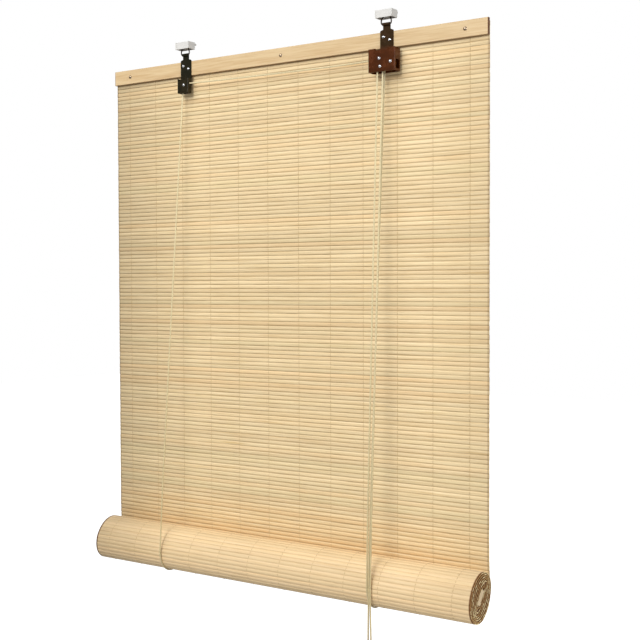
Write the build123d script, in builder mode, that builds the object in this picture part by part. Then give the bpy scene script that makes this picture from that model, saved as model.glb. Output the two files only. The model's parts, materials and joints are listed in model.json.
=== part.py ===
from build123d import *
from math import acos, asin, atan2, cos, degrees, hypot, pi, radians, sin, tan
import os

os.makedirs("parts", exist_ok=True)

# Bamboo roll up blind, millimetres. X runs along the rail, the room is towards -Y and +Z is up.
# The origin lies in the ceiling plane, midway between the screws of the two clips.

# Mat of split bamboo slats
blind_width = 600.0
slat_pitch = 5.5
slat_gap = 0.5
slat_thickness = 1.3
hanging_slat_count = 120
clamped_slat_count = 3
clamped_slat_rise = 1.2  # from the rail's lower edge to the lowest clamped slat

# Head rail: two laths with the mat's top edge between them
rail_height = 20.0
lath_thickness = 4.5
lath_edge = 0.5
rail_screw_inset = 30.0  # from each end of the rail
screw_radius = 1.1
screw_depth = 8.3
rail_screw_head_radius = 2.5
rail_screw_head_height = 1.5
strap_screw_head_radius = 2.0
strap_screw_head_height = 1.3
strap_screw_places = [(-5.0, -6.0), (4.0, -10.2)]  # across the strap, and below the rail's top edge
hole_clearance = 0.05

# Ceiling clips
hanger_spacing = 326.0
clip_length = 24.0
clip_depth = 14.0
clip_height = 9.4
clip_roof = 2.0
clip_wall = 1.6
clip_end_wall = 1.5
clip_rib = 0.5
clip_rib_width = 1.4
clip_tail_width = 16.0
clip_tail_depth = 6.0  # behind the screw
ring_to_screw = 9.0  # from the ring's plane back to the screw
clip_screw_radius = 2.1
clip_bar_radius = 1.0

# D rings
ring_wire_radius = 0.85
ring_bend_radius = 7.2
ring_half_bar = 6.4  # half the straight side, before its corners are rounded
ring_corner_radius = 1.5
ring_top_drop = 6.2  # from the ceiling to the centre of the wire at the ring's top
ring_bar_gap = 0.05

# Folded steel brackets
sheet_metal = 1.0
knuckle_width = 10.4
knuckle_clearance = 0.08
knuckle_slit = 0.4
strap_width = 19.0
strap_corner = 1.6
neck_length = 6.2  # from the knuckle's centre down to where the strap widens
rail_drop = 25.8  # from the ceiling to the rail's top edge
fold_radius = 1.0
seam_gap = 0.2

left_box_width = 19.0
left_box_height = 20.0
left_box_depth = 8.5
left_box_drop = 4.6  # below the rail
left_axle_place = (1.7, -8.9)  # from the middle of the box's top edge
left_cord_radius = 4.0  # from the pulley's axis to the cord's middle

right_box_width = 38.0
right_box_height = 28.5
right_box_depth = 14.0
right_box_drop = 2.2
right_axle_place = (-3.7, -12.0)
lock_pin_place = (-2.4, -22.0)
pawl_pin_place = (12.4, -17.3)
right_cord_radius = 3.6
notch_depth = 2.4
window_top = 14.5  # below the box's top edge
window_bottom = 26.0
window_rim = 1.6
groove_front_inset = 3.6  # from the box's front face to the front cord
groove_rear_inset = 8.3

# Rivets, pulleys and pawl
rivet_radius = 1.1
rivet_head_radius = 2.0
rivet_head_height = 1.2
rivet_tail_radius = 1.8
rivet_tail_height = 0.5
lock_pin_radius = 1.0
pulley_flange = 0.9
pulley_groove = 3.2  # at the rim
pulley_groove_floor = 2.2
pulley_side_gap = 0.3
pulley_rim = 1.0  # how far the flanges stand out past the cord's middle
pawl_hub_radius = 3.0
pawl_nose_radius = 1.3
pawl_nose_drop = 4.7
pawl_tooth = 0.5

# Cord
cord_radius = 1.0
cord_clearance = 0.3
left_roll_x = -171.0  # where each strand lies on the roll
right_roll_x = 164.8
anchor_x = 172.0  # of the cords' ends behind the rail, each side of the middle
strand_gap = 0.4  # between strands side by side on the roll
cheek_hole_clearance = 0.6
left_exit_rise = 1.1  # the cross cord's height over the left axle, and over the right one
right_exit_rise = -1.8
exit_bend_radius = 5.0
exit_step = 0.6  # from a cheek's outer face to the cord's bend
run_end_drop = 0.5  # how far below the roll's axis the straight runs end
end_gap = 0.1  # where one length of cord meets the next at a slight angle

# Cord ends behind the rail
staple_wire_radius = 0.6
staple_half_width = 2.6
staple_bend_radius = 0.9
staple_depth = 3.2
staple_drop = 10.5  # below the rail's top edge
knot_radius = 2.3
knot_tail = 6.0

# Roll
roll_radius = 28.5
turn_pitch = 2.2
half_turns = 14
core_bend_radius = 6.5
core_tail = 9.0
bottom_batten_height = 20.0
bottom_batten_thickness = 4.0
lift_turns = 3

# Hank of spare pull cord
hank_width = 24.0
hank_depth = 12.0
hank_height = 46.0
hank_edge = 4.0
hank_drop = 115.0  # from the roll's axis to the hank's top
tie_height = 6.0
tie_thickness = 1.6
front_pull_hank_x = 171.6
rear_pull_hank_x = 165.8

# Places that follow from the dimensions
half_width = blind_width / 2
ring_y = -ring_to_screw
knuckle_radius = ring_wire_radius + knuckle_clearance + sheet_metal
strap_back_y = ring_y + knuckle_radius
mat_front_y = strap_back_y + lath_thickness
mat_back_y = mat_front_y + slat_thickness
rail_back_y = mat_back_y + lath_thickness
rail_top_z = -rail_drop
rail_bottom_z = rail_top_z - rail_height
rail_middle_z = rail_top_z - rail_height / 2
roll_y = mat_back_y - roll_radius
roll_z = rail_bottom_z - hanging_slat_count * slat_pitch
ring_top_z = -ring_top_drop
ring_chord = (ring_bend_radius**2 - ring_half_bar**2) ** 0.5
ring_centre_z = ring_top_z - ring_bend_radius
knuckle_z = ring_centre_z - ring_chord
clip_bar_z = ring_top_z - ring_wire_radius - ring_bar_gap - clip_bar_radius
left_x = -hanger_spacing / 2
right_x = hanger_spacing / 2
left_box_top_z = rail_bottom_z - left_box_drop
right_box_top_z = rail_bottom_z - right_box_drop
left_box_bottom_z = left_box_top_z - left_box_height
right_box_bottom_z = right_box_top_z - right_box_height
left_axle = (left_x + left_axle_place[0], left_box_top_z + left_axle_place[1])
right_axle = (right_x + right_axle_place[0], right_box_top_z + right_axle_place[1])
lock_pin_axis = (right_x + lock_pin_place[0], right_box_top_z + lock_pin_place[1])
pawl_axis = (right_x + pawl_pin_place[0], right_box_top_z + pawl_pin_place[1])
left_front_y = strap_back_y - left_box_depth
right_front_y = strap_back_y - right_box_depth
inside_back_y = strap_back_y - sheet_metal
left_cord_y = (left_front_y + inside_back_y + sheet_metal) / 2
front_cord_y = right_front_y + groove_front_inset
rear_cord_y = right_front_y + groove_rear_inset
lap_radius = roll_radius + cord_clearance + cord_radius  # of the cord round the roll
lap_front_y = roll_y - lap_radius
lap_back_y = roll_y + lap_radius
run_end_z = roll_z - run_end_drop
anchor_y = rail_back_y + knot_radius + cord_clearance
staple_z = rail_top_z - staple_drop
knot_z = staple_z + staple_wire_radius + knot_radius + cord_clearance
strand_x = right_axle[0] + right_cord_radius  # of the strands below the lock pulley
rear_pull_roll_x = right_roll_x + 2 * cord_radius + strand_gap
front_pull_roll_x = rear_pull_roll_x + 2 * cord_radius + strand_gap
cheek_hole_radius = cord_radius + cheek_hole_clearance
hank_top_z = roll_z - hank_drop
hank_x = (front_pull_hank_x + rear_pull_hank_x) / 2


def save(piece, label):
    piece.label = label
    export_step(piece, f"parts/{label}.step")


def make_clip(x, label):
    half = clip_length / 2
    front = ring_y - clip_depth / 2
    back = ring_y + clip_depth / 2
    with BuildPart() as clip:
        with BuildSketch():
            with Locations((x, ring_y)):
                RectangleRounded(clip_length, clip_depth, 1.0)
            for side in (-1, 1):
                with Locations((x + side * (half - clip_rib_width / 2), front)):
                    Rectangle(clip_rib_width, 2 * clip_rib)
        extrude(amount=-clip_height)
        with BuildSketch(Plane.XY.offset(-clip_roof)):
            with Locations((x, ring_y)):
                Rectangle(clip_length - 2 * clip_end_wall, clip_depth - 2 * clip_wall)
        extrude(amount=-clip_height, mode=Mode.SUBTRACT)
        with BuildSketch():
            with Locations((x, (back - 1 + clip_tail_depth) / 2)):
                RectangleRounded(clip_tail_width, clip_tail_depth - back + 1, 0.9)
        extrude(amount=-clip_roof)
        with BuildSketch():
            with Locations((x, 0)):
                Circle(clip_screw_radius)
        extrude(amount=-clip_roof, mode=Mode.SUBTRACT)
        with BuildSketch(Plane.XZ.offset(-back + clip_wall / 2)):
            with Locations((x, clip_bar_z)):
                Circle(clip_bar_radius)
        extrude(amount=clip_depth - clip_wall)
    save(clip.part, label)


def make_ring(x, label):
    open_half_angle = degrees(acos(ring_chord / ring_bend_radius))
    with BuildPart() as ring:
        with BuildLine(Plane.XZ.offset(-ring_y)) as loop:
            arc = CenterArc(
                (x, ring_centre_z), ring_bend_radius, open_half_angle - 90, 360 - 2 * open_half_angle
            )
            Line(arc @ 1, arc @ 0)
            corners = loop.vertices().group_by(Axis.Z)[0]
            fillet(corners, ring_corner_radius)
        with BuildSketch(Plane(origin=loop.wire() @ 0, z_dir=loop.wire() % 0)):
            Circle(ring_wire_radius)
        sweep(path=loop.wire())
    save(ring.part, label)


def dome_pin(x, z, head_y, head_radius, head_height, end_y, radius, tail_y=None):
    """A dome head in front of a shank, which is peened over behind tail_y if that is given."""
    ball = (head_radius**2 + head_height**2) / (2 * head_height)
    rim_angle = degrees(asin(head_radius / ball))
    outline_end = [(end_y, z + radius), (end_y, z)]
    if tail_y is not None:
        outline_end = [
            (tail_y, z + radius),
            (tail_y, z + rivet_tail_radius),
            (end_y, z + rivet_tail_radius),
            (end_y, z),
        ]
    with BuildPart() as pin:
        with BuildSketch(Plane.YZ.offset(x)):
            with BuildLine():
                CenterArc((head_y - head_height + ball, z), ball, 180 - rim_angle, rim_angle)
                Polyline((head_y, z + head_radius), (head_y, z + radius), *outline_end)
                Line((end_y, z), (head_y - head_height, z))
            make_face()
        revolve(axis=Axis((x, 0, z), (0, 1, 0)))
    return pin.part


# the holes for screws and rivets, all along Y
def hole_pegs(places, front_y, back_y):
    """Cylinders along Y at (x, z, radius) places, with the holes' clearance, to cut with."""
    with BuildPart() as pegs:
        with BuildSketch(Plane.XZ.offset(-back_y)):
            for x, z, radius in places:
                with Locations((x, z)):
                    Circle(radius + hole_clearance)
        extrude(amount=back_y - front_y)
    return pegs.part


def make_rivet(axis, front_y, radius, label):
    end_y = strap_back_y + rivet_tail_height
    head = (rivet_head_radius, rivet_head_height)
    save(dome_pin(*axis, front_y, *head, end_y, radius, strap_back_y), label)


def save_pins(pins, label):
    with BuildPart() as group:
        for pin in pins:
            add(pin)
    save(group.part, label)


def strap_screws_of(x):
    return [(x + across, rail_top_z + below, screw_radius) for across, below in strap_screw_places]


def make_bracket(x, box_width, box_height, box_depth, box_top_z, pins, extra_cuts, label):
    front = strap_back_y - box_depth
    middle = (front + strap_back_y) / 2
    half_neck = knuckle_width / 2
    half_strap = strap_width / 2
    neck_z = knuckle_z - neck_length
    slit_y = ring_y + knuckle_radius - sheet_metal - knuckle_slit
    pegs = hole_pegs(strap_screws_of(x) + pins, front - sheet_metal, strap_back_y)
    with BuildPart() as bracket:
        # the box, a rectangular tube with folded corners and a seam beside the left cheek
        with BuildSketch(Plane.XY.offset(box_top_z - box_height)):
            with Locations((x, middle)):
                RectangleRounded(box_width, box_depth, fold_radius)
                Rectangle(box_width - 2 * sheet_metal, box_depth - 2 * sheet_metal, mode=Mode.SUBTRACT)
            with Locations((x - box_width / 2, front + sheet_metal + seam_gap)):
                Rectangle(3 * sheet_metal, seam_gap, mode=Mode.SUBTRACT)
        extrude(amount=box_height)
        # the strap and its neck
        with BuildSketch(Plane.XZ.offset(-strap_back_y)) as strap:
            with BuildLine():
                Polyline(
                    (x - half_neck, knuckle_z),
                    (x - half_neck, neck_z),
                    (x - half_strap, rail_top_z + strap_corner),
                    (x - half_strap, box_top_z - sheet_metal),
                    (x + half_strap, box_top_z - sheet_metal),
                    (x + half_strap, rail_top_z + strap_corner),
                    (x + half_neck, neck_z),
                    (x + half_neck, knuckle_z),
                    close=True,
                )
            make_face()
            shoulders = strap.vertices().sort_by(Axis.Z)[2:6]
            fillet(shoulders, strap_corner)
        extrude(amount=sheet_metal)
        # the knuckle curls round the ring's straight side
        with BuildSketch(Plane.YZ.offset(x - half_neck)):
            with Locations((ring_y, knuckle_z)):
                Circle(knuckle_radius)
        extrude(amount=knuckle_width)
        with BuildSketch(Plane.YZ.offset(x - half_neck)):
            with Locations((ring_y, knuckle_z)):
                Circle(knuckle_radius - sheet_metal)
            with Locations((slit_y, knuckle_z - knuckle_radius / 2)):
                Rectangle(knuckle_slit, knuckle_radius)
        extrude(amount=knuckle_width, mode=Mode.SUBTRACT)
        add(pegs, mode=Mode.SUBTRACT)
        # a shallow notch in the front face, under the strap
        with BuildSketch(Plane.XZ.offset(-front)):
            with Locations((x, box_top_z)):
                Rectangle(strap_width - 2 * sheet_metal, 2 * notch_depth)
        extrude(amount=-sheet_metal, mode=Mode.SUBTRACT)
        for plane_x, shape in extra_cuts:
            with BuildSketch(Plane.YZ.offset(plane_x - sheet_metal)):
                if len(shape) == 3:
                    with Locations(shape[:2]):
                        Circle(shape[2])
                else:
                    with Locations(((shape[0] + shape[1]) / 2, (shape[2] + shape[3]) / 2)):
                        RectangleRounded(shape[1] - shape[0], shape[3] - shape[2], fold_radius)
            extrude(amount=2 * sheet_metal, mode=Mode.SUBTRACT)
    save(bracket.part, label)


def make_pulley(axis, grooves, cord_lap, front, back, label):
    x, z = axis
    bore = rivet_radius + hole_clearance
    floor_radius = cord_lap - cord_radius - cord_clearance
    rim_radius = cord_lap + pulley_rim
    outline = [(front, bore), (front, rim_radius)]
    for middle in grooves:
        outline += [
            (middle - pulley_groove / 2, rim_radius),
            (middle - pulley_groove_floor / 2, floor_radius),
            (middle + pulley_groove_floor / 2, floor_radius),
            (middle + pulley_groove / 2, rim_radius),
        ]
    outline += [(back, rim_radius), (back, bore)]
    with BuildPart() as pulley:
        with BuildSketch(Plane.YZ.offset(x)):
            with BuildLine():
                Polyline(*[(y, z + r) for y, r in outline], close=True)
            make_face()
        revolve(axis=Axis((x, 0, z), (0, 1, 0)))
    save(pulley.part, label)


def make_pawl():
    front = right_front_y + sheet_metal + pulley_side_gap
    back = inside_back_y - pulley_side_gap
    nose_x = strand_x + cord_radius + cord_clearance + pawl_nose_radius
    nose_z = pawl_axis[1] - pawl_nose_drop
    with BuildPart() as pawl:
        with BuildSketch(Plane.XZ.offset(-back)):
            with Locations(pawl_axis):
                Circle(pawl_hub_radius)
            with Locations((nose_x, nose_z)):
                Circle(pawl_nose_radius)
            make_hull()
            with Locations(pawl_axis):
                Circle(rivet_radius + hole_clearance, mode=Mode.SUBTRACT)
            # teeth across the nose
            with Locations((nose_x, nose_z)):
                with PolarLocations(pawl_nose_radius, 4, start_angle=135, angular_range=135):
                    Rectangle(pawl_tooth, pawl_tooth / 2, rotation=45, mode=Mode.SUBTRACT)
        extrude(amount=back - front)
    save(pawl.part, "lock_pawl")


def report_cord(label, line, piece, radii):
    length = line.length
    share = piece.volume / (pi * cord_radius**2 * length)
    shown = ", ".join(f"{radius:.1f}" for radius in radii)
    print(f"{label}: {length:.1f} mm, radii [{shown}], volume over section times length {share:.4f}")


def make_cord(points, radii, label):
    with BuildPart() as cord:
        with BuildLine() as route:
            if radii:
                FilletPolyline(*points, radius=radii)
            else:
                Line(*points)
        wire = route.wire()
        with BuildSketch(Plane(origin=wire @ 0, z_dir=wire % 0)):
            Circle(cord_radius)
        sweep(path=wire)
    report_cord(label, wire, cord.part, radii)
    save(cord.part, label)


def make_bight(x, label):
    with BuildPart() as bight:
        with BuildLine(Plane.YZ.offset(x)) as route:
            CenterArc((roll_y, run_end_z), lap_radius, 180, 180)
        wire = route.wire()
        with BuildSketch(Plane(origin=wire @ 0, z_dir=wire % 0)):
            Circle(cord_radius)
        sweep(path=wire)
    report_cord(label, wire, bight.part, [lap_radius])
    save(bight.part, label)


def tangent_angle(centre, radius, point, side):
    """Angle, in degrees, at which a line from the point touches the circle."""
    across = point[0] - centre[0]
    up = point[1] - centre[1]
    return degrees(atan2(up, across)) + side * degrees(acos(radius / hypot(across, up)))


def lap_corners(centre, radius, first, last, y):
    """The two corners of the polyline that a cord's arc over a pulley is rounded from."""
    quarter = (last - first) / 4
    reach = radius / cos(radians(quarter))
    corners = []
    for angle in (first + quarter, last - quarter):
        corners.append(
            (centre[0] + reach * cos(radians(angle)), y, centre[1] + reach * sin(radians(angle)))
        )
    return corners


def make_run_to_roll(start, roll_x, label):
    """A taut strand from the start down to the front of the roll."""
    touch = tangent_angle((roll_y, roll_z), lap_radius, (start[1], start[2]), 1)
    turn = 180 - touch
    corner_z = roll_z + lap_radius * tan(radians(turn / 2))
    points = [start, (roll_x, lap_front_y, corner_z), (roll_x, lap_front_y, run_end_z)]
    make_cord(points, [0.95 * lap_radius], label)


make_clip(left_x, "ceiling_clip_left")
make_clip(right_x, "ceiling_clip_right")
make_ring(left_x, "ring_left")
make_ring(right_x, "ring_right")

# laths of the head rail
screw_places = strap_screws_of(left_x) + strap_screws_of(right_x)
rail_screw_xs = [-half_width + rail_screw_inset, 0.0, half_width - rail_screw_inset]
screw_places += [(x, rail_middle_z, screw_radius) for x in rail_screw_xs]
screw_end_y = strap_back_y + screw_depth
screw_pegs = hole_pegs(screw_places, strap_back_y, screw_end_y + hole_clearance)
staple_places = []
for x in (-anchor_x, anchor_x):
    for side in (-1, 1):
        staple_places.append((x + side * staple_half_width, staple_z, staple_wire_radius))
staple_pegs = hole_pegs(staple_places, rail_back_y - staple_depth - hole_clearance, rail_back_y)

with BuildPart() as head_batten_front:
    with BuildSketch(Plane.YZ.offset(-half_width)):
        with Locations(((strap_back_y + mat_front_y) / 2, rail_middle_z)):
            Rectangle(lath_thickness, rail_height)
    extrude(amount=blind_width)
    chamfer(head_batten_front.edges().filter_by(Axis.X).group_by(Axis.Y)[0], lath_edge)
    add(screw_pegs, mode=Mode.SUBTRACT)
save(head_batten_front.part, "head_batten_front")

with BuildPart() as head_batten_rear:
    with BuildSketch(Plane.YZ.offset(-half_width)):
        with Locations(((mat_back_y + rail_back_y) / 2, rail_middle_z)):
            Rectangle(lath_thickness, rail_height)
    extrude(amount=blind_width)
    chamfer(head_batten_rear.edges().filter_by(Axis.X).group_by(Axis.Y)[-1], lath_edge)
    add([screw_pegs, staple_pegs], mode=Mode.SUBTRACT)
save(head_batten_rear.part, "head_batten_rear")

rail_head = (strap_back_y, rail_screw_head_radius, rail_screw_head_height)
rail_pins = [dome_pin(x, rail_middle_z, *rail_head, screw_end_y, screw_radius) for x in rail_screw_xs]
save_pins(rail_pins, "rail_screws")

strap_head = (inside_back_y, strap_screw_head_radius, strap_screw_head_height)
strap_pins = []
for x, z, radius in strap_screws_of(left_x) + strap_screws_of(right_x):
    strap_pins.append(dome_pin(x, z, *strap_head, screw_end_y, radius))
save_pins(strap_pins, "strap_screws")

# mat: the slats between the laths, and those that hang
slat_height = slat_pitch - slat_gap
with BuildPart() as clamped_slats:
    with BuildSketch(Plane.YZ.offset(-half_width)):
        for row in range(clamped_slat_count):
            low = rail_bottom_z + clamped_slat_rise + row * slat_pitch
            with Locations(((mat_front_y + mat_back_y) / 2, low + slat_height / 2)):
                Rectangle(slat_thickness, slat_height)
    extrude(amount=blind_width)
    add(screw_pegs, mode=Mode.SUBTRACT)
save(clamped_slats.part, "clamped_slats")

with BuildPart() as hanging_slats:
    with BuildSketch(Plane.YZ.offset(-half_width)):
        for row in range(hanging_slat_count):
            top = rail_bottom_z - row * slat_pitch
            with Locations(((mat_front_y + mat_back_y) / 2, top - slat_pitch / 2)):
                Rectangle(slat_thickness, slat_height)
    extrude(amount=blind_width)
save(hanging_slats.part, "hanging_slats")

# brackets with their rivets, pulleys and pawl
left_cheek_x = left_x + left_box_width / 2
right_cheek_x = right_x + right_box_width / 2
lock_entry_x = right_x - right_box_width / 2
left_exit_z = left_axle[1] + left_exit_rise
lock_entry_z = right_axle[1] + right_exit_rise
make_bracket(
    left_x,
    left_box_width,
    left_box_height,
    left_box_depth,
    left_box_top_z,
    [(*left_axle, rivet_radius)],
    [(left_cheek_x, (left_cord_y, left_exit_z, cheek_hole_radius))],
    "bracket_left",
)
make_bracket(
    right_x,
    right_box_width,
    right_box_height,
    right_box_depth,
    right_box_top_z,
    [(*right_axle, rivet_radius), (*lock_pin_axis, lock_pin_radius), (*pawl_axis, rivet_radius)],
    [
        (lock_entry_x, (rear_cord_y, lock_entry_z, cheek_hole_radius)),
        (
            right_cheek_x,
            (
                right_front_y + sheet_metal + window_rim,
                inside_back_y - window_rim,
                right_box_top_z - window_bottom,
                right_box_top_z - window_top,
            ),
        ),
    ],
    "bracket_right",
)
make_rivet(left_axle, left_front_y, rivet_radius, "axle_pin_left")
make_rivet(right_axle, right_front_y, rivet_radius, "axle_pin_right")
make_rivet(lock_pin_axis, right_front_y, lock_pin_radius, "lock_pin")
make_rivet(pawl_axis, right_front_y, rivet_radius, "pawl_pin")
make_pulley(
    left_axle,
    [left_cord_y],
    left_cord_radius,
    left_cord_y - pulley_groove / 2 - pulley_flange,
    left_cord_y + pulley_groove / 2 + pulley_flange,
    "pulley_left",
)
make_pulley(
    right_axle,
    [front_cord_y, rear_cord_y],
    right_cord_radius,
    right_front_y + sheet_metal + pulley_side_gap,
    rear_cord_y + pulley_groove / 2 + pulley_flange,
    "pulley_right",
)
make_pawl()

# cords: the runs down to the roll, the bights under it and the runs up behind the mat
left_lap_x = left_axle[0] - left_cord_radius
right_lap_x = right_axle[0] - right_cord_radius
left_start = (left_lap_x, left_cord_y, left_axle[1] - end_gap)
right_start = (right_lap_x, front_cord_y, right_axle[1] - end_gap)
make_run_to_roll(left_start, left_roll_x, "lift_cord_left")
make_run_to_roll(right_start, right_roll_x, "lift_cord_right")
make_bight(left_roll_x, "bight_left")
make_bight(right_roll_x, "bight_right")
for roll_x, end_x, side in ((left_roll_x, -anchor_x, "left"), (right_roll_x, anchor_x, "right")):
    back_end_z = knot_z - knot_radius - end_gap
    back_points = [(roll_x, lap_back_y, run_end_z + end_gap), (end_x, anchor_y, back_end_z)]
    make_cord(back_points, [], f"back_cord_{side}")
    with BuildPart() as knot:
        with Locations((end_x, anchor_y, knot_z)):
            Sphere(knot_radius)
        with BuildSketch(Plane.XY.offset(knot_z)):
            with Locations((end_x, anchor_y)):
                Circle(cord_radius)
        extrude(amount=knot_radius + knot_tail)
    save(knot.part, f"knot_{side}")

with BuildPart() as anchor_staples:
    for x in (-anchor_x, anchor_x):
        inner_y = rail_back_y - staple_depth
        crown_y = anchor_y + cord_radius + cord_clearance + staple_wire_radius
        with BuildLine() as staple_route:
            FilletPolyline(
                (x - staple_half_width, inner_y, staple_z),
                (x - staple_half_width, crown_y, staple_z),
                (x + staple_half_width, crown_y, staple_z),
                (x + staple_half_width, inner_y, staple_z),
                radius=staple_bend_radius,
            )
        with BuildSketch(Plane.XZ.offset(-inner_y)):
            with Locations((x - staple_half_width, staple_z)):
                Circle(staple_wire_radius)
        sweep(path=staple_route.wire())
save(anchor_staples.part, "anchor_staples")

# the cross cord: over the left pulley, through both cheeks and over the lock pulley
left_bend = (left_cheek_x + exit_step, left_exit_z)
entry_bend = (lock_entry_x - exit_step, lock_entry_z)
left_leave = tangent_angle(left_axle, left_cord_radius, left_bend, 1)
right_meet = tangent_angle(right_axle, right_cord_radius, entry_bend, -1) % 360
cross_points = [(left_lap_x, left_cord_y, left_axle[1])]
cross_points += lap_corners(left_axle, left_cord_radius, 180, left_leave, left_cord_y)
cross_points.append((left_bend[0], left_cord_y, left_bend[1]))
cross_points.append((entry_bend[0], rear_cord_y, entry_bend[1]))
cross_points += lap_corners(right_axle, right_cord_radius, right_meet, 0, rear_cord_y)
cross_points.append((strand_x, rear_cord_y, right_box_bottom_z))
lap_left = left_cord_radius * 0.99
lap_right = right_cord_radius * 0.99
cross_radii = [lap_left, lap_left, exit_bend_radius, exit_bend_radius, lap_right, lap_right]
make_cord(cross_points, cross_radii, "cross_cord")

lock_points = [(right_lap_x, front_cord_y, right_axle[1])]
lock_points += lap_corners(right_axle, right_cord_radius, 180, 0, front_cord_y)
lock_points.append((strand_x, front_cord_y, right_box_bottom_z))
make_cord(lock_points, [lap_right, lap_right], "lock_cord")

# pull strands: from the lock to the front of the roll, then down to the hank
pull_strands = [
    ("front", front_cord_y, front_pull_roll_x, front_pull_hank_x),
    ("rear", rear_cord_y, rear_pull_roll_x, rear_pull_hank_x),
]
for name, y, roll_x, end_x in pull_strands:
    make_run_to_roll((strand_x, y, right_box_bottom_z - end_gap), roll_x, f"pull_strand_{name}")
    end_points = [
        (roll_x, lap_front_y, run_end_z - end_gap),
        (end_x, lap_front_y, hank_top_z + end_gap),
    ]
    make_cord(end_points, [], f"pull_end_{name}")

with BuildPart() as pull_hank:
    with BuildSketch(Plane.XY.offset(hank_top_z - hank_height)):
        with Locations((hank_x, lap_front_y)):
            RectangleRounded(hank_width, hank_depth, hank_edge)
    extrude(amount=hank_height)
save(pull_hank.part, "pull_hank")

with BuildPart() as hank_tie:
    with BuildSketch(Plane.XY.offset(hank_top_z - hank_height / 2 - tie_height / 2)):
        with Locations((hank_x, lap_front_y)):
            RectangleRounded(
                hank_width + 2 * tie_thickness, hank_depth + 2 * tie_thickness, hank_edge + tie_thickness
            )
            RectangleRounded(hank_width, hank_depth, hank_edge, mode=Mode.SUBTRACT)
    extrude(amount=tie_height)
save(hank_tie.part, "hank_tie")



# roll: a spiral of half turns about two centres, whose inner end runs along the bottom batten
def spiral_arcs(inward):
    for turn in range(half_turns):
        centre = roll_y - (turn % 2) * turn_pitch / 2
        radius = roll_radius - turn * turn_pitch / 2 - inward
        CenterArc((centre, roll_z), radius, 180 * (turn % 2), -180)


core_y = roll_y + roll_radius - half_turns * turn_pitch / 2
tail_y = core_y - 2 * core_bend_radius
rolled_thickness = slat_thickness * slat_height / slat_pitch  # of a plain sheet as heavy as the slats
with BuildPart() as rolled_mat:
    with BuildSketch(Plane.YZ.offset(-half_width)):
        with BuildLine():
            spiral_arcs(0)
            CenterArc((core_y - core_bend_radius, roll_z), core_bend_radius, 0, -180)
            Polyline(
                (tail_y, roll_z),
                (tail_y, roll_z + core_tail),
                (tail_y + rolled_thickness, roll_z + core_tail),
                (tail_y + rolled_thickness, roll_z),
            )
            CenterArc(
                (core_y - core_bend_radius, roll_z), core_bend_radius - rolled_thickness, 180, 180
            )
            spiral_arcs(rolled_thickness)
            Line((mat_back_y, roll_z), (mat_back_y - rolled_thickness, roll_z))
        make_face()
    extrude(amount=blind_width)
save(rolled_mat.part, "rolled_mat")

with BuildPart() as bottom_batten:
    with BuildSketch(Plane.YZ.offset(-half_width)):
        with Locations((tail_y - bottom_batten_thickness / 2, roll_z)):
            Rectangle(bottom_batten_thickness, bottom_batten_height)
    extrude(amount=blind_width)
    chamfer(bottom_batten.edges().filter_by(Axis.X), lath_edge)
save(bottom_batten.part, "bottom_batten")

wound_length = sum(pi * (roll_radius - turn * turn_pitch / 2) for turn in range(half_turns))
print(f"roll: axis y {roll_y:.2f}, z {roll_z:.2f}, wound length {wound_length:.0f} mm")
print(f"lift travel {lift_turns * 2 * pi * roll_radius:.2f} mm in {lift_turns} turns")
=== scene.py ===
import json
import math

import bmesh
import bpy
import numpy as np
from mathutils import Matrix, Vector


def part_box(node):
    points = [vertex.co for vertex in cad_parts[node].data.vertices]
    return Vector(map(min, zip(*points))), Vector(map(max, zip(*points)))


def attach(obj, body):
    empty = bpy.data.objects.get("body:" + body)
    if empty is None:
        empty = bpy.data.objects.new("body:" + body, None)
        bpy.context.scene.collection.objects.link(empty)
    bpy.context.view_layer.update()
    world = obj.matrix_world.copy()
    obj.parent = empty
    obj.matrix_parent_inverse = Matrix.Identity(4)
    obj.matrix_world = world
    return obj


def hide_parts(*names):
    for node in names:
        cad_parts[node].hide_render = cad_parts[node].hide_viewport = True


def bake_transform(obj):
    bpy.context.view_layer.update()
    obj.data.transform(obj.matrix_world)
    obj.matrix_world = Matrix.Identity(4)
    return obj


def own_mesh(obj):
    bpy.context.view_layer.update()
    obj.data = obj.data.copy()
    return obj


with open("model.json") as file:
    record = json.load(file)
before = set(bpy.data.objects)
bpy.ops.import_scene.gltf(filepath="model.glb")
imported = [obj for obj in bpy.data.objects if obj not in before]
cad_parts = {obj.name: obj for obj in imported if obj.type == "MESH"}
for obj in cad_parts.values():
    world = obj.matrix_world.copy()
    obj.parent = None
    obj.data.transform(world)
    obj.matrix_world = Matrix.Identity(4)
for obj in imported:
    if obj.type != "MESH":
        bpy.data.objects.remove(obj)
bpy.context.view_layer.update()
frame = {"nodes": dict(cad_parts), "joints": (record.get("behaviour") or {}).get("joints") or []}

# Bamboo roll up blind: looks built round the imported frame, in metres.
scene = bpy.context.scene
mm = 0.001
cornerReach = 1 / math.cos(math.radians(22.5))  # how far outside a circle its octagon's corners lie


# ways to read the frame

def lowHigh(node):
    low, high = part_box(node)
    return np.array(low), np.array(high)


def travelOf(jointName):
    joint = next(j for j in frame["joints"] if j["name"] == jointName)
    return joint["range_m"][1] - joint["range_m"][0]


# ways to make a mesh

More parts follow.
